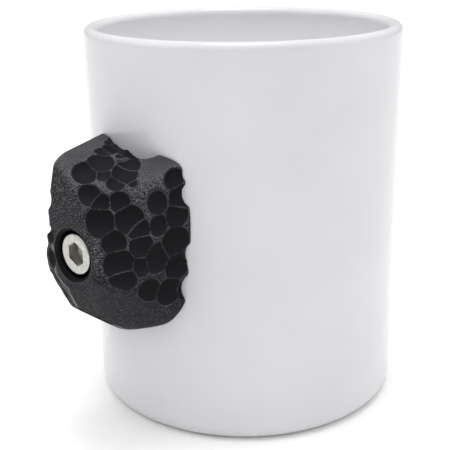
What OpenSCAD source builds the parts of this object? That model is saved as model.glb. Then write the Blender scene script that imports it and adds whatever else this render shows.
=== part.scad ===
// Straight ceramic mug with a climbing-hold handle bolted to its side.
// Millimetres, +Z up, origin on the mug's axis at the table, handle towards -X.

/* [Mug] */
// Outer diameter of the mug
mug_d = 82; // [78:1:86]
// Height of the mug
mug_h = 99.5; // [94:0.5:104]
// Thickness of the mug's wall, and the diameter of its rounded lip
wall = 3.6; // [3.2:0.2:4.4]
// Thickness of the mug's floor above its foot recess
floor_t = 5; // [4:0.5:7]
// Radius of the rounded edge round the bottom
edge_r = 4; // [2.5:0.1:4.5]
// Radius between the inside wall and the floor
inner_r = 8; // [5:0.5:10]
// Depth of the recess inside the foot ring
foot_recess = 1.5; // [1:0.5:2]

/* [Handle] */
// Height of the cap screw's axis above the table
screw_z = 52; // [50:0.5:54]
// Radius of the counterbore round the screw's head
counterbore_r = 5.8; // [5.6:0.1:6.4]
// How far above the screw's outer face the counterbore's flared rim starts
rim_rise = 0.2; // [0.1:0.1:0.5]

/* [Fixings] */
// Pitch diameter of the M6 thread, which stands in for the helix
thread_d = 5.35; // [5.3:0.01:5.4]
// Radial running clearance between the screw's thread and the boss's
thread_gap = 0.05; // [0.02:0.01:0.08]
// Length of the cap screw under its head
screw_len = 10; // [9:0.5:10]
// Diameter of the cap screw's head
head_d = 10; // [9.5:0.1:10]
// Height of the cap screw's head
head_h = 6; // [5.5:0.1:6]
// Width across the flats of the hex socket
socket_af = 5; // [4:0.5:5]
// Depth of the hex socket
socket_depth = 3; // [2.5:0.1:3.5]
// Thickness of the washer under the head
washer_t = 1.6; // [1.4:0.1:1.6]
// Thickness of the glue film under the anchor plate
glue_t = 0.4; // [0.3:0.1:0.5]
// Thickness of the curved anchor plate
plate_t = 1.4; // [1.2:0.1:1.5]

/* [Hidden] */
$fn = 96;

mug_r = mug_d / 2;
bore_r = mug_r - wall;           // inside radius of the mug
lip_r = wall / 2;                // radius of the lip's rounding
foot_ring = 10;                  // the foot ring's width, with its rounded edge

// Places along the screw's axis, measured outwards from the mug's axis
plate_in = mug_r + glue_t;       // inner face of the anchor plate
plate_out = plate_in + plate_t;  // outer face of the anchor plate
washer_out = mug_r + 12;         // outer face of the washer, under the head
washer_in = washer_out - washer_t;
ferrule_t = 1.2;                 // thickness of the ferrule's end wall
ferrule_in = washer_in - ferrule_t;
boss_top = ferrule_in - 0.4;     // the boss stops short, so the screw clamps the grip
ferrule_low = plate_out + 0.8;   // open end of the ferrule, clear of the plate
head_out = washer_out + head_h;  // outer face of the screw's head

boss_r = 5;
ferrule_bore_r = 5.1;            // slides over the boss
ferrule_r = 6;
flange_r = 8;                    // flange moulded into the grip
rim_h = 2;                       // tall enough to run out of the grip's front
rim_slope = 1.5;                 // the rim widens this much for each millimetre outwards
screw_hole_r = 3.2;              // clearance hole for M6
washer_r = 5.5;
chamfer = 0.5;                   // chamfers on the screw
saddle_gap = 0.15;               // between the grip's hollow back and the glaze
plate_room = 0.4;                // between the anchor plate and the grip
pad_t = 1;                       // thickness of the saddle pad
far = 40;                        // longer than any cut needs to be

plate_size = [14, 22];           // width round the mug and height of the anchor plate
pad_size = [22, 30];
pad_window = [15, 23];           // opening in the pad for the anchor plate
pad_side = 2;                    // the pad lies this far towards the grip's broad side

// The grip is a block with flat faces. Each row is one face: the azimuth and
// elevation of its outward normal in degrees (azimuth 0 points away from the
// mug, 90 round towards -Y), its distance from grip_centre, and the finger
// pockets sunk in it as [across, up, radius] from the foot of that normal.
grip_centre = [mug_r + 3, 0, screw_z - 2];
pocket_depth = 0.42;             // depth of a pocket, as a share of its radius
GRIP_FACES = [
    // front, with the counterbore
    [0, 1, 15.9, []],
    [19, -36, 15.8, []],
    // left flank
    [-19, -1, 17.4, [[-2.8, 5.4, 2.4], [-3.2, -0.6, 2.6]]],
    [-20, -26, 17.5, [[-4.5, 1, 2.6], [-5.5, -4.5, 2.8], [-6.5, -10, 2.8], [-9.5, -1.5, 2.2],
                    [-10.5, -7, 2.4]]],
    // left side
    [-70, 15, 15.8, [[7, 15.5, 3.2], [1, 17, 3.6], [11, 10, 2.6], [4.5, 10.5, 3.8],
                    [-2, 10.5, 3.2], [9.5, 4, 3.6], [2.5, 4, 3.8], [-4.5, 4.5, 3.4],
                    [11.5, -2.5, 2.6], [6, -2.5, 3.4], [-0.5, -3, 3.8], [9, -9, 3.2],
                    [3, -9.5, 3.8], [-4, -9, 3.4], [6.5, -14, 2.6], [1.5, -15, 3],
                    [1.5, -19.5, 2.6], [-4, -15.5, 3.4]]],
    [-92, 0, 16.5, []],
    // underside, at the front
    [-3, -53, 18.7, [[-9, -1.5, 2.6], [-4.7, -0.4, 1.9], [-3.2, -2.2, 1.8], [-1.7, -4.1, 1.9],
                     [-0.1, -6, 1.8]]],
    // top
    [90, 84, 24.4, [[-4.2, 2.6, 2.8], [1, 6.7, 1.8], [-0.5, 2.8, 3.6], [-3.6, -2.8, 2.5],
                    [2.5, -1.5, 5.5], [3.2, 4.6, 3.6], [3.6, 7.2, 2.6]]],
    [-50, 45, 27.8, []],
    [50, 48, 21.8, [[-4.4, 10.6, 3.3], [-8.1, 7.6, 3.1], [-4.1, 6.9, 1.9], [1, 11.8, 2.4],
                    [1.9, 9.5, 2.8], [0.8, 6.9, 3.1], [-1.2, 4, 2.6], [2.6, 3.6, 1.9]]],
    // broad face on the right of the screw
    [54, 12, 15.4, [[-8.6, 14.8, 3.3], [-1.6, 12.1, 2.6], [-5.8, 12.1, 2.5],
                    [-6.4, 7.8, 3.7], [0.4, 7.9, 3.6], [-3.4, 2.9, 3], [2.3, 5.6, 2.9],
                    [2.9, 1.4, 3.2], [-2.6, -2.2, 3.8], [-1.9, -5.8, 3.5], [2.8, -3.2, 2.9]]],
    [42, -36, 16.3, []],
    // right side
    [80, 8, 16.8, [[-0.5, 12.3, 4], [5.5, 17, 3], [6.8, 12, 3.4], [-0.4, 6.8, 3.5],
                   [5.5, 8, 3.5]]],
    [84, -5, 15.5, [[3.4, 5.6, 4.4], [-1.6, 3.1, 4.2], [4.2, -0.8, 3.7], [-4.2, -5.2, 3.6],
                    [1.9, -6.8, 3.8], [7.5, -7.5, 3.4], [8, 1.5, 2.6]]],
    [84, 52, 26.4, []],
    // underside
    [86, -36, 19.5, []],
    [34, -58, 19.6, []],
    [70, -66, 20.9, []],
];

// Turns children, drawn pointing away from the mug along +X, round to the handle's side
module at_handle() rotate([0, 0, 180]) children();

// Lays children, drawn along +Z from the mug's axis, along the screw's axis
module on_screw_axis() at_handle() translate([0, 0, screw_z]) rotate([0, 90, 0]) children();

// A curved plate that wraps the mug between two radii, size is [width, height]
// and side moves it round the mug
module saddle(r_in, r_out, size, side = 0) difference() {
    intersection() {
        cylinder(r = r_out, h = mug_h);
        translate([0, side - size[0] / 2, screw_z - size[1] / 2])
            cube([2 * far, size[0], size[1]]);
    }
    cylinder(r = r_in, h = mug_h);
}

// Straight wall, rounded bottom edge and rounded lip, hollow inside
module mug_body() color("white") difference() {
    rotate_extrude() {
        translate([0, edge_r]) square([mug_r, mug_h - edge_r - lip_r]);
        square([mug_r - edge_r, mug_h / 2]);
        translate([mug_r - edge_r, edge_r]) circle(edge_r);
        translate([mug_r - lip_r, mug_h - lip_r]) circle(lip_r);
    }
    inside();
    cylinder(r = mug_r - foot_ring, h = 2 * foot_recess, center = true);
}

// The space for the drink, with its rounded corner
module inside() translate([0, 0, foot_recess + floor_t]) rotate_extrude() {
    translate([0, inner_r]) square([bore_r, mug_h]);
    square([bore_r - inner_r, mug_h]);
    translate([bore_r - inner_r, inner_r]) circle(inner_r);
}

// Cured glue film between the glaze and the anchor plate
module glue_film() color("khaki") at_handle() saddle(mug_r, plate_in, plate_size);

// Curved steel plate glued to the mug
module anchor_plate() color("silver") at_handle() saddle(plate_in, plate_out, plate_size);

// Threaded boss welded to the plate
module anchor_boss() color("lightgray") difference() {
    on_screw_axis() cylinder(r = boss_r, h = boss_top);
    cylinder(r = plate_out, h = mug_h);
    on_screw_axis() cylinder(d = thread_d + 2 * thread_gap, h = mug_h);
}

// Rubber pad between the grip's hollow back and the glaze, open round the plate
module saddle_pad() color("dimgray") at_handle() difference() {
    saddle(mug_r, mug_r + pad_t, pad_size, pad_side);
    translate([0, -pad_window[0] / 2, screw_z - pad_window[1] / 2])
        cube([far * 2, pad_window[0], pad_window[1]]);
}

// Turns and moves children so that +X is a face's outward normal and x = 0 lies on it
module on_face(azimuth, elevation, distance)
    translate(grip_centre) rotate([0, -elevation, azimuth]) translate([distance, 0, 0])
        children();

// The block, cut flat by every face
module grip_block() difference() {
    translate([0, -far, 0]) cube(2 * far);
    for (face = GRIP_FACES)
        on_face(face[0], face[1], face[2])
            translate([0, -2 * far, -2 * far]) cube(4 * far);
}

// Shallow ball-shaped pockets, whose rims meet in thin ridges
module finger_pockets()
    for (face = GRIP_FACES)
        for (pocket = face[3]) {
            r = pocket[2];
            depth = pocket_depth * r;
            ball_r = (r * r + depth * depth) / (2 * depth);
            on_face(face[0], face[1], face[2])
                translate([ball_r - depth, pocket[0], pocket[1]]) sphere(ball_r);
        }

// Climbing hold in cast resin: saddle-shaped back, counterbore and room for the anchor
module grip_body() color([0.13, 0.13, 0.14]) difference() {
    at_handle() difference() {
        grip_block();
        finger_pockets();
        cylinder(r = mug_r + saddle_gap, h = mug_h);
        saddle(mug_r - 1, mug_r + pad_t, pad_size, pad_side);
        saddle(mug_r - 1, plate_out + plate_room, pad_window);
    }
    on_screw_axis() {
        cylinder(r = ferrule_r, h = washer_in);
        translate([0, 0, ferrule_in]) cylinder(r = flange_r, h = ferrule_t);
        translate([0, 0, washer_in]) cylinder(r = counterbore_r, h = far);
        translate([0, 0, head_out + rim_rise])
            cylinder(r1 = counterbore_r, r2 = counterbore_r + rim_slope * rim_h, h = rim_h);
    }
}

// Flanged steel cup moulded into the grip, which slides over the boss
module grip_ferrule() color("gainsboro") on_screw_axis() difference() {
    union() {
        translate([0, 0, ferrule_low]) cylinder(r = ferrule_r, h = washer_in - ferrule_low);
        translate([0, 0, ferrule_in]) cylinder(r = flange_r, h = ferrule_t);
    }
    cylinder(r = ferrule_bore_r, h = ferrule_in);
    cylinder(r = screw_hole_r, h = mug_h);
}

// Plain washer under the screw's head
module flat_washer() color("silver") on_screw_axis() difference() {
    translate([0, 0, washer_in]) cylinder(r = washer_r, h = washer_t);
    cylinder(r = screw_hole_r, h = mug_h);
}

// Socket-head cap screw, its thread drawn at the pitch diameter
module cap_screw() color("whitesmoke") on_screw_axis() difference() {
    union() {
        translate([0, 0, washer_out - screw_len + chamfer])
            cylinder(d = thread_d, h = screw_len);
        translate([0, 0, washer_out - screw_len])
            cylinder(r1 = thread_d / 2 - chamfer, r2 = thread_d / 2, h = chamfer);
        translate([0, 0, washer_out]) cylinder(d = head_d, h = head_h - chamfer);
        translate([0, 0, head_out - chamfer])
            cylinder(r1 = head_d / 2, r2 = head_d / 2 - chamfer, h = chamfer);
    }
    translate([0, 0, head_out - socket_depth])
        cylinder(d = socket_af / cos(30), h = far, $fn = 6);
}

mug_body();
glue_film();
anchor_plate();
anchor_boss();
saddle_pad();
grip_body();
grip_ferrule();
flat_washer();
cap_screw();
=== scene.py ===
import math

import bpy
import numpy as np
from mathutils import Matrix, Vector


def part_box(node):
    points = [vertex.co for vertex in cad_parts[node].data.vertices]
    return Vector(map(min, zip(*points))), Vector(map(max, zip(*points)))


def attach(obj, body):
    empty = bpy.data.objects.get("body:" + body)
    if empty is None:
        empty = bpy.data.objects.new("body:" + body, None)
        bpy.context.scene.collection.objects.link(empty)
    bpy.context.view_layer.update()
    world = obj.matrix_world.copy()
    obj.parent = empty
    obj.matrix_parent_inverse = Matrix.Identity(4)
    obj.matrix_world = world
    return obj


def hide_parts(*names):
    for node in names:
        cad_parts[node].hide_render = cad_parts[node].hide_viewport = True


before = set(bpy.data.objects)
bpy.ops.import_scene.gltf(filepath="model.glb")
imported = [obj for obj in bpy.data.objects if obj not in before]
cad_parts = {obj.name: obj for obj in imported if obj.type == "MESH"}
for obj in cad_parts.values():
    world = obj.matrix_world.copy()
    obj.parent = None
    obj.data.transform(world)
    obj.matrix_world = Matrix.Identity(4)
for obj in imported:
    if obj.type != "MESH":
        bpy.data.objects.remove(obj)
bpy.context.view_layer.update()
MM = 0.001
MUG, WASHER, SCREW = "mug", "washer", "screw"


# ---------------------------------------------------------------- sizes from the frame

def span(node, axis):
    """Lowest and highest coordinate of a CAD node along one axis, in mm."""
    low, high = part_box(node)
    return low[axis] / MM, high[axis] / MM


def turned_radius(node):
    """Radius in mm of a CAD node turned round the screw's axis."""
    low, high = span(node, 2)
    return (high - low) / 2


# The mug, in mm
mug_r = span("mug_body", 0)[1]
mug_h = span("mug_body", 2)[1]
wall = 3.6
edge_r = 4.0            # rounding round the bottom edge
inner_r = 8.0           # rounding between the inside wall and the floor
foot_ring = 10.0        # width of the foot ring, with its rounded edge
foot_recess = 1.5       # depth of the recess inside the foot ring
floor_t = 5.0           # thickness of the floor above the recess

# The fixings, with places along the screw's axis measured outwards from the mug's axis
screw_z = sum(span("cap_screw", 2)) / 2
head_out = -span("cap_screw", 0)[0]
screw_tip = -span("cap_screw", 0)[1]
head_r = turned_radius("cap_screw")
washer_out, washer_in = (-x for x in span("flat_washer", 0))
washer_r = turned_radius("flat_washer")
boss_top = -span("anchor_boss", 0)[0]
boss_r = turned_radius("anchor_boss")
plate_out = mug_r + 0.4 + 1.4       # outer face of the plate, on its film of glue
thread_r = 3.0                      # M6
socket_flats = 5.0
socket_depth = 3.0
ferrule_r = 6.0
ferrule_t = 1.2                     # end wall of the ferrule, as thick as its flange
flange_r = 8.0
counterbore_r = 5.8
rim_rise = 0.2                      # from the head's face out to where the rim starts to flare
rim_slope = 1.5                     # how much the rim widens for each mm outwards


# ---------------------------------------------------------------- meshes

def make_piece(name, points, faces, body, material, node, sharp_deg=35):
    """A smooth-shaded mesh from points in mm, riding on a body and standing for a CAD node."""
    mesh = bpy.data.meshes.new(name)
    if isinstance(faces, np.ndarray):
        faces = faces.tolist()
    mesh.from_pydata((np.asarray(points, float) * MM).tolist(), [], faces)
    mesh.validate()
    mesh.polygons.foreach_set("use_smooth", [True] * len(mesh.polygons))
    mesh.set_sharp_from_angle(angle=math.radians(sharp_deg))
    mesh.materials.append(material)
    piece = bpy.data.objects.new(name, mesh)
    bpy.context.scene.collection.objects.link(piece)
    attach(piece, body)
    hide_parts(node)
    return piece


def turned(rows, segments, closed=True):
    """Points and faces of a surface turned round +Z. A row is (radius, height); a radius may
    be an array round the circle, and a radius of 0 is a single point."""
    angles = np.arange(segments) * 2 * math.pi / segments
    points, rings = [], []
    for radius, height in rows:
        first = len(points)
        if np.ndim(radius) == 0 and radius == 0:
            points.append((0.0, 0.0, height))
            rings.append([first] * segments)
            continue
        radius = np.broadcast_to(radius, segments)
        points += [(r * math.cos(a), r * math.sin(a), height) for r, a in zip(radius, angles)]
        rings.append(list(range(first, first + segments)))
    if closed:
        rings.append(rings[0])
    faces = []
    for low, high in zip(rings, rings[1:]):
        for i in range(segments):
            j = (i + 1) % segments
            corners = [low[i], low[j], high[j], high[i]]
            face = [c for k, c in enumerate(corners) if c != corners[k - 1]]
            if len(face) > 2:
                faces.append(face)
    return np.array(points), faces


def arc(centre_r, centre_z, radius, start_deg, end_deg, steps):
    """Profile points (radius, height) along an arc, its angles measured from straight out."""
    return [(centre_r + radius * math.cos(a), centre_z + radius * math.sin(a))
            for a in np.radians(np.linspace(start_deg, end_deg, steps + 1))]


def on_screw_axis(points):
    """Turns points drawn along +Z round to the screw's axis, +Z pointing out along -X."""
    points = np.asarray(points, float)
    return np.stack([-points[:, 2], -points[:, 1], points[:, 0] + screw_z], axis=1)


# ---------------------------------------------------------------- node materials

def new_material(name):
    """A material with its node tree, its Principled shader and a helper that adds nodes."""
    material = bpy.data.materials.new(name)
    material.use_nodes = True
    nodes, links = material.node_tree.nodes, material.node_tree.links
    shader = nodes["Principled BSDF"]

    def add(kind, inputs=(), **settings):
        node = nodes.new(kind)
        for key, value in settings.items():
            setattr(node, key, value)
        for key, value in dict(inputs).items():
            if isinstance(value, bpy.types.NodeSocket):
                links.new(value, node.inputs[key])
            else:
                node.inputs[key].default_value = value
        return node

    def wire(socket, key):
        links.new(socket, shader.inputs[key])

    return material, shader, add, wire


def ramp(add, factor, low, high, colour_low, colour_high):
    """A colour ramp with two stops."""
    node = add("ShaderNodeValToRGB", {"Fac": factor})
    stops = node.color_ramp.elements
    for stop, place, colour in ((stops[0], low, colour_low), (stops[1], high, colour_high)):
        stop.position = place
        stop.color = (*colour, 1)
    return node.outputs["Color"]


def blend(add, share, under, over):
    """A colour that goes from under to over as share goes from 0 to 1."""
    return add("ShaderNodeMix", {"Factor": share, "A": under, "B": over},
               data_type="RGBA").outputs["Result"]


def noise(add, where, scale, detail=3.0, roughness=0.5):
    """Procedural noise from 0 to 1, its scale in features for each metre."""
    return add("ShaderNodeTexNoise", {"Vector": where, "Scale": scale, "Detail": detail,
                                      "Roughness": roughness}).outputs["Fac"]


def glaze_material():
    """Glossy white glaze, bare and matt where the foot ring stands."""
    material, shader, add, wire = new_material("white_glaze")
    where = add("ShaderNodeTexCoord").outputs["Object"]
    height = add("ShaderNodeSeparateXYZ", {"Vector": where}).outputs["Z"]
    clouds = noise(add, where, 45.0)
    glazed = ramp(add, clouds, 0.3, 0.7, (0.60, 0.594, 0.615), (0.63, 0.624, 0.645))
    specks = noise(add, where, 2600.0, 2.0)
    bare = ramp(add, specks, 0.35, 0.7, (0.62, 0.6, 0.56), (0.78, 0.76, 0.72))
    above = add("ShaderNodeMapRange", {"Value": height, "From Min": 0.0002, "From Max": 0.0006})
    share = above.outputs["Result"]
    wire(blend(add, share, bare, glazed), "Base Color")
    rough = add("ShaderNodeMapRange", {"Value": share, "To Min": 0.75, "To Max": 0.12})
    wire(rough.outputs["Result"], "Roughness")
    waves = noise(add, where, 120.0, 1.0)
    bump = add("ShaderNodeBump", {"Height": waves, "Strength": 0.06, "Distance": 0.0004})
    wire(bump.outputs["Normal"], "Normal")
    shader.inputs["IOR"].default_value = 1.5
    return material


def resin_material():
    """Near-black cast resin with pale grains in its sand. Painted light: faces that turn up are
    painted lighter and show more pale specks, the pockets are smoother and painted darker, and
    crests and ridges get a painted pale highlight."""
    material, shader, add, wire = new_material("black_resin")
    where = add("ShaderNodeTexCoord").outputs["Object"]
    dust_and_top_light = add("ShaderNodeAttribute", attribute_name="dust_and_top_light").outputs["Fac"]
    crest = add("ShaderNodeAttribute", attribute_name="crest").outputs["Fac"]
    grain = noise(add, where, 3600.0, 2.0, 0.7)
    lumps = noise(add, where, 700.0, 2.0)
    clouds = noise(add, where, 150.0, 3.0)
    # Pale grain specks, with more of them where the surface faces up, which is partly painted
    # top light
    held = add("ShaderNodeMath", {0: dust_and_top_light, 1: 0.5, 2: grain}, operation="MULTIPLY_ADD")
    specks = add("ShaderNodeMapRange", {"Value": held.outputs[0], "From Min": 0.77,
                                        "From Max": 0.91}).outputs["Result"]
    # Painted shade: darker black where the surface faces down and in the pockets, lighter where
    # it faces up
    shade = add("ShaderNodeMath", {0: dust_and_top_light, 1: 0.35}, operation="ADD").outputs[0]
    smooth = ramp(add, shade, 0.18, 0.5, (0.004, 0.004, 0.005), (0.011, 0.011, 0.013))
    grained = blend(add, specks, smooth, (0.15, 0.15, 0.16, 1))
    # Painted light: faces that turn up are painted a lighter grey
    top_lit = add("ShaderNodeMapRange", {"Value": dust_and_top_light, "From Min": 0.6, "From Max": 0.9,
                                       "To Max": 0.8}).outputs["Result"]
    top_lit_colour = blend(add, top_lit, grained, (0.037, 0.037, 0.043, 1))
    fading = add("ShaderNodeMapRange", {"Value": clouds, "From Min": 0.3, "From Max": 0.6,
                                        "To Min": 0.35})
    # Painted highlight: crests and ridges are painted pale, faded in places by clouds
    crest_light = add("ShaderNodeMath", {0: crest, 1: fading.outputs["Result"]}, operation="MULTIPLY")
    wire(blend(add, crest_light.outputs[0], top_lit_colour, (0.16, 0.16, 0.17, 1)), "Base Color")
    rough = add("ShaderNodeMapRange", {"Value": lumps, "To Min": 0.5, "To Max": 0.7})
    wire(rough.outputs["Result"], "Roughness")
    heights = add("ShaderNodeMath", {0: grain, 1: dust_and_top_light}, operation="MULTIPLY")
    fine = add("ShaderNodeBump", {"Height": heights.outputs[0], "Strength": 0.8,
                                  "Distance": 0.0003})
    wire(fine.outputs["Normal"], "Normal")
    shader.inputs["Specular IOR Level"].default_value = 0.08
    return material


def steel_material(name, colour, roughness):
    """Turned steel, stained here and there, with fine rings round the screw's axis."""
    material, shader, add, wire = new_material(name)
    where = add("ShaderNodeTexCoord").outputs["Object"]
    axis_place = add("ShaderNodeMapping", {"Vector": where, "Location": (0, 0, -screw_z * MM),
                                           "Scale": (0.02, 1, 1)})
    radius = add("ShaderNodeVectorMath", {0: axis_place.outputs[0]}, operation="LENGTH")
    along = add("ShaderNodeCombineXYZ", {"X": radius.outputs["Value"]})
    rings = noise(add, along.outputs[0], 9000.0, 2.0)
    stains = noise(add, where, 1300.0, 4.0, 0.7)
    stained = tuple(c * 0.6 for c in colour)
    wire(ramp(add, stains, 0.3, 0.75, stained, colour), "Base Color")
    rough = add("ShaderNodeMapRange", {"Value": rings, "To Min": roughness * 0.7,
                                       "To Max": roughness * 1.3})
    wire(rough.outputs["Result"], "Roughness")
    bump = add("ShaderNodeBump", {"Height": rings, "Strength": 0.25, "Distance": 0.00005})
    wire(bump.outputs["Normal"], "Normal")
    shader.inputs["Metallic"].default_value = 1.0
    return material


def soft_material(name, low, high, roughness, scale):
    """Rubber or glue: two close tones, a fine bump and no metal."""
    material, _, add, wire = new_material(name)
    where = add("ShaderNodeTexCoord").outputs["Object"]
    cloud = noise(add, where, scale)
    wire(ramp(add, cloud, 0.3, 0.7, low, high), "Base Color")
    rough = add("ShaderNodeMapRange", {"Value": cloud, "To Min": roughness,
                                       "To Max": min(roughness * 1.3, 1)})
    wire(rough.outputs["Result"], "Roughness")
    bump = add("ShaderNodeBump", {"Height": cloud, "Strength": 0.3, "Distance": 0.0001})
    wire(bump.outputs["Normal"], "Normal")
    return material


GLAZE = glaze_material()
RESIN = resin_material()
BRIGHT_STEEL = steel_material("stainless_steel", (0.60, 0.585, 0.55), 0.3)
PLAIN_STEEL = steel_material("plain_steel", (0.58, 0.57, 0.55), 0.42)
RUBBER = soft_material("black_rubber", (0.015, 0.015, 0.015), (0.03, 0.03, 0.03), 0.7, 900.0)
GLUE = soft_material("cured_epoxy", (0.55, 0.5, 0.32), (0.66, 0.6, 0.4), 0.3, 300.0)


# ---------------------------------------------------------------- mug

def make_mug():
    """One turned shell: recess, foot ring, outside, lip, inside and floor."""
    lip_r = wall / 2
    floor_z = foot_recess + floor_t
    bore_r = mug_r - wall
    foot_in = mug_r - foot_ring
    soft = 0.5
    rows = [(0, foot_recess)]
    rows += [(r, foot_recess) for r in np.linspace(4, foot_in - soft, 8)]
    rows += arc(foot_in - soft, foot_recess - soft, soft, 90, 0, 4)
    rows += arc(foot_in + soft, soft, soft, 180, 270, 4)
    rows += [(r, 0) for r in np.linspace(foot_in + 2 * soft, mug_r - edge_r - soft, 3)]
    rows += arc(mug_r - edge_r, edge_r, edge_r, -90, 0, 12)
    rows += [(mug_r, z) for z in np.linspace(edge_r + 1, mug_h - lip_r - 1, 40)]
    rows += arc(mug_r - lip_r, mug_h - lip_r, lip_r, 0, 180, 20)
    rows += [(bore_r, z) for z in np.linspace(mug_h - lip_r - 1, floor_z + inner_r + 1, 30)]
    rows += arc(bore_r - inner_r, floor_z + inner_r, inner_r, 0, -90, 14)
    rows += [(r, floor_z) for r in np.linspace(bore_r - inner_r - 2, 2, 8)]
    rows += [(0, floor_z)]
    points, faces = turned(rows, 256, closed=False)
    return make_piece("mug_shell", points, faces, MUG, GLAZE, "mug_body")


make_mug()


# ---------------------------------------------------------------- climbing hold

# The hold's flat faces, as part.scad has them: azimuth and elevation of the outward normal
# in degrees, distance from the hold's centre in mm, and the face's pockets as
# (across, up, radius). Azimuth 0 points away from the mug and 90 towards -Y.
GRIP_FACES = [
    # front, with the counterbore
    (0, 1, 15.9, []),
    (19, -36, 15.8, []),
    # left flank
    (-19, -1, 17.4, [(-2.8, 5.4, 2.4), (-3.2, -0.6, 2.6)]),
    (-20, -26, 17.5, [(-4.5, 1, 2.6), (-5.5, -4.5, 2.8), (-6.5, -10, 2.8), (-9.5, -1.5, 2.2),
                    (-10.5, -7, 2.4)]),
    # left side
    (-70, 15, 15.8, [(7, 15.5, 3.2), (1, 17, 3.6), (11, 10, 2.6), (4.5, 10.5, 3.8),
                    (-2, 10.5, 3.2), (9.5, 4, 3.6), (2.5, 4, 3.8), (-4.5, 4.5, 3.4),
                    (11.5, -2.5, 2.6), (6, -2.5, 3.4), (-0.5, -3, 3.8), (9, -9, 3.2),
                    (3, -9.5, 3.8), (-4, -9, 3.4), (6.5, -14, 2.6), (1.5, -15, 3),
                    (1.5, -19.5, 2.6), (-4, -15.5, 3.4)]),
    (-92, 0, 16.5, []),
    # underside, at the front
    (-3, -53, 18.7, [(-9, -1.5, 2.6), (-4.7, -0.4, 1.9), (-3.2, -2.2, 1.8), (-1.7, -4.1, 1.9),
                     (-0.1, -6, 1.8)]),
    # top
    (90, 84, 24.4, [(-4.2, 2.6, 2.8), (1, 6.7, 1.8), (-0.5, 2.8, 3.6), (-3.6, -2.8, 2.5),
                    (2.5, -1.5, 5.5), (3.2, 4.6, 3.6), (3.6, 7.2, 2.6)]),
    (-50, 45, 27.8, []),
    (50, 48, 21.8, [(-4.4, 10.6, 3.3), (-8.1, 7.6, 3.1), (-4.1, 6.9, 1.9), (1, 11.8, 2.4),
                    (1.9, 9.5, 2.8), (0.8, 6.9, 3.1), (-1.2, 4, 2.6), (2.6, 3.6, 1.9)]),
    # broad face on the right of the screw
    (54, 12, 15.4, [(-8.6, 14.8, 3.3), (-1.6, 12.1, 2.6), (-5.8, 12.1, 2.5),
                    (-6.4, 7.8, 3.7), (0.4, 7.9, 3.6), (-3.4, 2.9, 3), (2.3, 5.6, 2.9),
                    (2.9, 1.4, 3.2), (-2.6, -2.2, 3.8), (-1.9, -5.8, 3.5), (2.8, -3.2, 2.9)]),
    (42, -36, 16.3, []),
    # right side
    (80, 8, 16.8, [(-0.5, 12.3, 4), (5.5, 17, 3), (6.8, 12, 3.4), (-0.4, 6.8, 3.5),
                   (5.5, 8, 3.5)]),
    (84, -5, 15.5, [(3.4, 5.6, 4.4), (-1.6, 3.1, 4.2), (4.2, -0.8, 3.7), (-4.2, -5.2, 3.6),
                    (1.9, -6.8, 3.8), (7.5, -7.5, 3.4), (8, 1.5, 2.6)]),
    (84, 52, 26.4, []),
    # underside
    (86, -36, 19.5, []),
    (34, -58, 19.6, []),
    (70, -66, 20.9, []),
]
GRIP_CENTRE = np.array([mug_r + 3, 0, screw_z - 2])
POCKET_DEPTH = 0.42


def face_frame(azimuth, elevation):
    """A face's outward normal and its two directions, across and up."""
    a, e = math.radians(azimuth), math.radians(elevation)
    normal = np.array([math.cos(a) * math.cos(e), math.sin(a) * math.cos(e), math.sin(e)])
    across = np.array([-math.sin(a), math.cos(a), 0])
    up = np.array([-math.cos(a) * math.sin(e), -math.sin(a) * math.sin(e), math.cos(e)])
    return normal, across, up


def round_max(a, b, size):
    """The larger of a and b, rounded over where they are closer than size."""
    gap = np.maximum(size - np.abs(a - b), 0) / size
    return np.maximum(a, b) + gap * gap * size / 4


def face_distance(points, azimuth, elevation, distance):
    """Signed distance in mm from the plane of one flat face, negative inside the hold."""
    return (points - GRIP_CENTRE) @ face_frame(azimuth, elevation)[0] - distance


def is_crisp(azimuth, elevation):
    """Whether a face is on the left, where the faces meet in crisp ridges."""
    return azimuth < 0 and elevation < 20


def block_distance(points):
    """Signed distance in mm from the hold's block with rounded edges."""
    found = None
    for azimuth, elevation, distance, _ in GRIP_FACES:
        value = face_distance(points, azimuth, elevation, distance)
        rounding = 0.5 if is_crisp(azimuth, elevation) else 1.6
        found = value if found is None else round_max(found, value, rounding)
    return found


def ridge_share(points):
    """How close points in mm are to a crisp ridge between two faces, from 0 to 1."""
    values = np.array([face_distance(points, azimuth, elevation, distance)
                       for azimuth, elevation, distance, _ in GRIP_FACES])
    crisp = np.array([is_crisp(azimuth, elevation) for azimuth, elevation, _, _ in GRIP_FACES])
    left, rest = values[crisp].max(axis=0), values[~crisp].max(axis=0)
    return np.clip(1.5 - np.abs(left - rest) / 0.14, 0, 1)


def pocket_distance(points, second=False):
    """How far points in mm lie inside the balls that hollow the pockets, and if asked, how far
    inside the next nearest ball too."""
    found = np.full(len(points), -99.0)
    runner_up = found.copy()
    for azimuth, elevation, distance, pockets in GRIP_FACES:
        normal, across, up = face_frame(azimuth, elevation)
        for x, y, r in pockets:
            depth = POCKET_DEPTH * r
            ball_r = (r * r + depth * depth) / (2 * depth)
            centre = GRIP_CENTRE + normal * (distance + ball_r - depth) + across * x + up * y
            value = ball_r - np.linalg.norm(points - centre, axis=1)
            runner_up = np.maximum(runner_up, np.minimum(found, value))
            found = np.maximum(found, value)
    return (found, runner_up) if second else found


def hole_distance(points):
    """How far points in mm lie inside the screw's counterbore, the ferrule's seat and rim."""
    n = points[:, 0]
    r = np.hypot(points[:, 1], points[:, 2] - screw_z)
    seat = np.minimum(ferrule_r - r, washer_in - n)
    flange = np.minimum(flange_r - r, np.minimum(n - (washer_in - ferrule_t), washer_in - n))
    counterbore = np.minimum(counterbore_r - r, n - washer_in)
    above = n - head_out - rim_rise
    square_on = 0.55        # turns a distance along the radius into one square to the flare
    rim = np.minimum((counterbore_r + rim_slope * above - r) * square_on, above)
    opening = round_max(counterbore, rim, 0.3)
    return np.maximum(np.maximum(seat, flange), opening)


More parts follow.
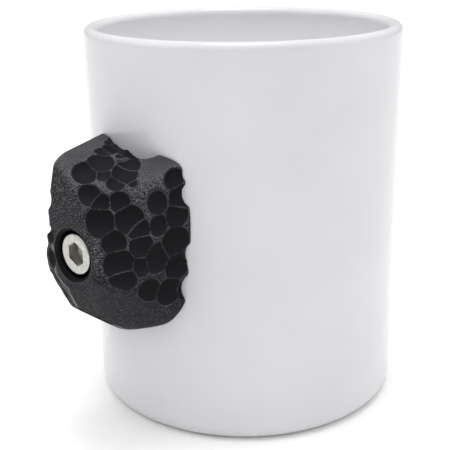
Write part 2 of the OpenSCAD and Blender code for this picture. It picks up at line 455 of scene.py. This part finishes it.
def back_distance(points):
    """How far points in mm lie inside the mug, the pad's recess and the anchor's room."""
    gap, pad_t, plate_room = 0.15, 1.0, 0.4
    pad_half_w, pad_half_h, pad_side = 11.0, 15.0, 2.0
    room_half_w, room_half_h = 7.5, 11.5
    n, t, z = points.T
    r = np.hypot(n, t)
    high = np.abs(z - screw_z)
    mug = mug_r + gap - r
    pad = np.minimum(pad_half_w - np.abs(t - pad_side), pad_half_h - high)
    pad = np.minimum(mug_r + pad_t - r, pad)
    room = np.minimum(room_half_w - np.abs(t), room_half_h - high)
    room = np.minimum(plate_out + plate_room - r, room)
    return np.maximum(mug, np.maximum(pad, room))


def grip_distance(points):
    """Signed distance in mm from the whole hold, in the handle's own directions."""
    shape = round_max(block_distance(points), pocket_distance(points), 0.3)
    shape = round_max(shape, hole_distance(points), 0.25)
    return round_max(shape, back_distance(points), 0.2)


def all_inside(place, cells, others):
    """Which crossed edges have all four cells round them inside the grid."""
    keep = np.ones(len(place), bool)
    for k in others:
        keep &= (place[:, k] > 0) & (place[:, k] < cells[k])
    return keep


def cells_round(place, others):
    """The four cells round each crossed edge, one after the other round it."""
    found = []
    for du, dv in ((0, 0), (1, 0), (1, 1), (0, 1)):
        where = place.copy()
        where[:, others[0]] -= du
        where[:, others[1]] -= dv
        found.append(tuple(where.T))
    return found


def surface_net(distance, low, high, cell):
    """Points and quads of the surface where distance is 0, one point in each cell it crosses."""
    counts = [int(math.ceil((top - bottom) / cell)) + 1 for bottom, top in zip(low, high)]
    steps = [bottom + cell * np.arange(count) for bottom, count in zip(low, counts)]
    grid = np.stack(np.meshgrid(*steps, indexing="ij"), axis=-1).reshape(-1, 3)
    values = np.concatenate([distance(part) for part in np.array_split(grid, 24)])
    values = values.reshape(counts)
    cells = [c - 1 for c in counts]
    total, hits = np.zeros((*cells, 3)), np.zeros(cells)
    edges = []
    for axis in range(3):
        others = [k for k in range(3) if k != axis]
        near = [slice(None)] * 3
        upper = [slice(None)] * 3
        near[axis], upper[axis] = slice(0, -1), slice(1, None)
        a, b = values[tuple(near)], values[tuple(upper)]
        place = np.argwhere((a < 0) != (b < 0))
        place = place[all_inside(place, cells, others)]
        ai, bi = a[tuple(place.T)], b[tuple(place.T)]
        point = np.array(low) + cell * place
        point[:, axis] += cell * ai / (ai - bi)
        for where in cells_round(place, others):
            np.add.at(total, where, point)
            np.add.at(hits, where, 1)
        edges.append((axis, others, place, ai < 0))
    used = hits > 0
    index = np.full(cells, -1)
    index[used] = np.arange(used.sum())
    points = total[used] / hits[used][:, None]
    quads = []
    for axis, others, place, starts_inside in edges:
        quad = np.stack([index[where] for where in cells_round(place, others)], axis=1)
        flip = starts_inside ^ (axis == 1)
        quad[flip] = quad[flip][:, ::-1]
        quads.append(quad)
    return points, np.concatenate(quads)


def slope(distance, points, step=0.05):
    """Gradient of distance at points, by central differences."""
    return np.stack([(distance(points + move) - distance(points - move)) / (2 * step)
                     for move in np.eye(3) * step], axis=1)


def pulled_onto(distance, points, reach):
    """Points moved onto the surface where distance is 0, in three steps of reach at most."""
    for _ in range(3):
        gradient = slope(distance, points)
        size = np.maximum((gradient ** 2).sum(axis=1), 0.2)
        shift = gradient * (distance(points) / size)[:, None]
        points = points - np.clip(shift, -reach, reach)
    return points


def painted_light_shares(points):
    """Shares at points in mm for the resin: painted top light, which also sets how many pale
    specks show, and a painted crest highlight. A highlight share above 1 stays pale where the
    material fades it."""
    nearest, second = pocket_distance(points, second=True)
    block = block_distance(points)
    rim = hole_distance(points)
    in_pocket = np.clip(0.5 + (np.maximum(nearest, rim) - block) / 0.5, 0, 1)

    # Painted highlight between two pockets or a pocket and a face, round the rim and along the
    # ridges
    beside = nearest - np.maximum(second, block)
    crest_highlight = np.clip(0.5 - np.abs(beside) / 0.25, 0, 1)
    crest_highlight = np.maximum(crest_highlight, np.clip(0.5 - np.abs(rim - block + 0.05) / 0.25, 0, 1))
    crest_highlight = np.maximum(crest_highlight, 1.6 * ridge_share(points) * (1 - in_pocket))

    # Painted light: lighter where the surface faces up. Painted shade in the pockets and the
    # counterbore, whose up-facing floors are painted a little lighter
    upward = slope(grip_distance, points)[:, 2]
    dust_and_top_light = np.clip(0.48 + 0.5 * upward, 0.4, 1) * (1 - 1.3 * in_pocket)
    dust_and_top_light += np.clip(0.5 * upward + 0.08, 0, 0.35) * in_pocket * (nearest > rim)
    return dust_and_top_light, crest_highlight


def make_grip():
    """The climbing hold: block, pockets, counterbore and hollow back as one closed mesh."""
    cell = 0.26
    low = np.array([mug_r - 7, -26, screw_z - 30])
    high = np.array([head_out + 2, 21, screw_z + 27])
    points, quads = surface_net(grip_distance, low, high, cell)
    points = pulled_onto(grip_distance, points, cell / 2)
    dust_and_top_light, crest_highlight = painted_light_shares(points)
    row_points = points * [-1, -1, 1]
    piece = make_piece("climbing_hold", row_points, quads, MUG, RESIN,
                       "grip_body", sharp_deg=180)
    # The painted top light and the painted crest highlight ride on the mesh as attributes
    for name, share in (("dust_and_top_light", dust_and_top_light), ("crest", crest_highlight)):
        values = piece.data.attributes.new(name, "FLOAT", "POINT")
        values.data.foreach_set("value", share.astype(np.float32))
    return piece


make_grip()


# ---------------------------------------------------------------- screw, washer and boss

SEGMENTS = 180
PITCH = 1.0             # M6
THREAD_DEPTH = 0.55
THREAD_PLAY = 0.06      # between the crests of the screw and the roots of the boss
ROW_STEP = 0.1          # between the rows of points up a thread
ANGLES = np.arange(SEGMENTS) * 2 * math.pi / SEGMENTS


def thread_radius(height, crest):
    """Radius round one row of a right-hand thread whose helix comes round once a pitch."""
    root = crest - THREAD_DEPTH
    turn = (height / PITCH - ANGLES / (2 * math.pi)) % 1
    flank = np.abs(turn - 0.5) * 2
    return root + (crest - root) * np.clip((0.94 - flank) / 0.8, 0, 1)


def hexagon_radius(flats):
    """Radius round a hexagon with a corner at angle 0."""
    return flats / 2 / np.cos((ANGLES % (math.pi / 3)) - math.pi / 6)


def make_screw():
    """Socket-head cap screw: knurled head, hex socket and a real helical thread."""
    knurl = head_r - 0.1 + 0.1 * np.cos(ANGLES * 60)
    tip_r = 2.1
    thread_top = washer_out - 0.6
    rows = [(0, screw_tip), (1.2, screw_tip), (1.9, screw_tip)]
    for height in np.arange(screw_tip + ROW_STEP / 2, thread_top, ROW_STEP):
        cone = tip_r + (height - screw_tip)
        rows.append((np.minimum(thread_radius(height, thread_r - THREAD_PLAY), cone), height))

    under = washer_out + 0.02       # the head's underside, just clear of the washer
    rows += [(2.7, thread_top + 0.1), (2.72, washer_out - 0.1), (2.95, under)]
    rows += [(head_r - 0.5, under), (head_r - 0.15, under + 0.1)]
    rows += [(knurl, washer_out + 0.4)]
    rows += [(knurl, h) for h in np.linspace(washer_out + 0.6, head_out - 0.9, 8)]

    edge = 0.5
    face = head_r - edge
    rows += [(head_r - 0.06, head_out - 0.7)]
    rows += arc(face, head_out - edge, edge, 10, 90, 5)

    hexagon = hexagon_radius(socket_flats)
    bevel_w, bevel_t = 0.26, 0.22
    rim = hexagon + bevel_w
    rows += [(face + (rim - face) * share, head_out) for share in (0.3, 0.6, 0.85, 1)]
    rows += [(hexagon, head_out - depth) for depth in (bevel_t, 0.8, 1.6, 2.4, socket_depth)]
    rows += [(2.3, head_out - socket_depth), (1.2, head_out - 3.45), (0, head_out - 3.9)]
    points, faces = turned(rows, SEGMENTS, closed=False)
    return make_piece("socket_cap_screw", on_screw_axis(points), faces, SCREW, BRIGHT_STEEL,
                      "cap_screw")


def make_washer():
    """Plain washer with the rounded outer edge of a stamping."""
    hole = 3.2
    rows = arc(washer_r - 0.3, washer_in + 0.3, 0.3, -90, 0, 4)
    rows += arc(washer_r - 0.2, washer_out - 0.2, 0.2, 0, 90, 4)
    rows += [(hole + 0.15, washer_out), (hole, washer_out - 0.15)]
    rows += [(hole, washer_in + 0.1), (hole + 0.1, washer_in)]
    points, faces = turned(rows, SEGMENTS)
    return make_piece("plain_washer", on_screw_axis(points), faces, WASHER, BRIGHT_STEEL,
                      "flat_washer")


def turned_uneven(rows):
    """Like turned, closed round the section, for rows whose height changes round the circle."""
    points = np.concatenate([np.stack([
        np.broadcast_to(radius, SEGMENTS) * np.cos(ANGLES),
        np.broadcast_to(radius, SEGMENTS) * np.sin(ANGLES),
        np.broadcast_to(height, SEGMENTS)], axis=1) for radius, height in rows])
    ring = np.arange(SEGMENTS)
    after = np.roll(ring, -1)
    starts = np.arange(len(rows)) * SEGMENTS
    quads = [np.stack([ring + a, after + a, after + b, ring + b], axis=1)
             for a, b in zip(starts, np.roll(starts, -1))]
    return points, np.concatenate(quads)


def make_boss():
    """Threaded boss, hollowed to the plate's curve below, its thread matching the screw's."""
    bevel = 0.4
    mouth = boss_top - 0.3          # height at which the countersink is as wide as the thread
    saddle = np.sqrt(plate_out ** 2 - (boss_r * np.sin(ANGLES)) ** 2)
    bore_end = np.sqrt(plate_out ** 2 - (thread_r * np.sin(ANGLES)) ** 2)
    rows = [(boss_r, saddle), (boss_r, boss_top - bevel), (boss_r - bevel, boss_top)]
    rows += [(thread_r + 0.3, boss_top)]
    for height in np.arange(mouth, plate_out + 0.15, -ROW_STEP):
        countersink = thread_r - (mouth - height)
        rows.append((np.maximum(thread_radius(height, thread_r), countersink), height))
    rows.append((thread_r - 0.1, bore_end))
    points, faces = turned_uneven(rows)
    return make_piece("threaded_boss", on_screw_axis(points), faces, MUG, PLAIN_STEEL,
                      "anchor_boss")


make_screw()
make_washer()
make_boss()

# The other pieces keep the frame's own shapes
for node, material in (("glue_film", GLUE), ("anchor_plate", PLAIN_STEEL),
                       ("saddle_pad", RUBBER), ("grip_ferrule", PLAIN_STEEL)):
    cad_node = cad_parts[node]
    for material_slot in cad_node.material_slots:
        material_slot.material = material


# ---------------------------------------------------------------- floor, light and camera

def make_floor():
    """Plain pale floor, far wider than the view."""
    mesh = bpy.data.meshes.new("floor")
    size = 4.0
    mesh.from_pydata([(-size, -size, 0), (size, -size, 0), (size, size, 0), (-size, size, 0)],
                     [], [(0, 1, 2, 3)])
    material, shader, add, wire = new_material("floor_white")
    where = add("ShaderNodeTexCoord").outputs["Object"]
    wire(ramp(add, noise(add, where, 3.0), 0.2, 0.8, (0.94, 0.94, 0.94), (0.96, 0.96, 0.96)),
         "Base Color")
    shader.inputs["Roughness"].default_value = 0.9
    mesh.materials.append(material)
    floor = bpy.data.objects.new("floor", mesh)
    bpy.context.scene.collection.objects.link(floor)


def make_light(name, place, aim, width, height, watts):
    """A soft rectangular area light at place, turned to aim, all in metres."""
    light = bpy.data.lights.new(name, "AREA")
    light.shape = "RECTANGLE"
    light.size, light.size_y, light.energy = width, height, watts
    lamp = bpy.data.objects.new(name, light)
    bpy.context.scene.collection.objects.link(lamp)
    lamp.location = place
    lamp.rotation_euler = (Vector(aim) - Vector(place)).to_track_quat("-Z", "Y").to_euler()


VIEW_TURN = 41.5        # degrees from the handle's direction round to the camera
CAMERA_OUT = 0.2433     # metres from the mug's axis to the camera
CAMERA_UP = 0.12635
PITCH_DOWN = 0.3265     # radians
AIM_LEFT = 0.022        # radians the view turns left of the mug's axis
ROLL = -0.0148          # radians
FOCAL_IN_PICTURES = 923.3 / 450


def make_camera():
    """Camera at the photograph's angle, distance and field of view."""
    turn = math.radians(VIEW_TURN)
    away = Vector((-math.cos(turn), -math.sin(turn), 0))
    side = Vector((math.sin(turn), -math.cos(turn), 0))
    ahead_flat = -away * math.cos(AIM_LEFT) - side * math.sin(AIM_LEFT)
    right = ahead_flat.cross(Vector((0, 0, 1)))
    ahead = ahead_flat * math.cos(PITCH_DOWN) - Vector((0, 0, math.sin(PITCH_DOWN)))
    up = right.cross(ahead)
    rolled_right = right * math.cos(ROLL) + up * math.sin(ROLL)
    rolled_up = up * math.cos(ROLL) - right * math.sin(ROLL)
    data = bpy.data.cameras.new("camera")
    data.sensor_width = 36.0
    data.lens = data.sensor_width * FOCAL_IN_PICTURES
    data.clip_start = 0.01
    camera = bpy.data.objects.new("camera", data)
    bpy.context.scene.collection.objects.link(camera)
    camera.matrix_world = Matrix((rolled_right, rolled_up, -ahead)).transposed().to_4x4()
    camera.location = away * CAMERA_OUT + Vector((0, 0, CAMERA_UP))
    bpy.context.scene.camera = camera


def make_world(low, high):
    """White studio all round. Its light rises from low at the horizon to high overhead with the
    square of the height, and it looks plain white where nothing is in front of it."""
    world = bpy.data.worlds.new("studio")
    world.use_nodes = True
    nodes, links = world.node_tree.nodes, world.node_tree.links
    where = nodes.new("ShaderNodeTexCoord").outputs["Generated"]
    split = nodes.new("ShaderNodeSeparateXYZ")
    square = nodes.new("ShaderNodeMath")
    square.operation = "POWER"
    square.use_clamp = True
    square.inputs[1].default_value = 2
    rise = nodes.new("ShaderNodeMapRange")
    rise.inputs["To Min"].default_value = low
    rise.inputs["To Max"].default_value = high
    seen = nodes.new("ShaderNodeMix")
    seen.inputs["B"].default_value = 1.0
    links.new(where, split.inputs[0])
    links.new(split.outputs["Z"], square.inputs[0])
    links.new(square.outputs[0], rise.inputs["Value"])
    links.new(nodes.new("ShaderNodeLightPath").outputs["Is Camera Ray"], seen.inputs["Factor"])
    links.new(rise.outputs["Result"], seen.inputs["A"])
    links.new(seen.outputs["Result"], nodes["Background"].inputs["Strength"])
    nodes["Background"].inputs["Color"].default_value = (1, 1, 1, 1)
    bpy.context.scene.world = world


make_floor()
make_light("right", (0.35, -0.75, 0.35), (0, 0, 0.05), 0.5, 0.6, 0.5)
make_light("top_left", (-0.55, 0.35, 0.6), (-0.03, 0, 0.06), 0.5, 0.4, 0.5)
make_light("overhead", (0, 0, 0.7), (0, 0, 0), 0.3, 0.3, 1.2)
make_light("inside_fill", (0, 0, 0.1), (0, 0, 0), 0.03, 0.03, 0.015)
make_camera()
make_world(0.55, 1.8)
bpy.context.scene.view_settings.view_transform = "Standard"
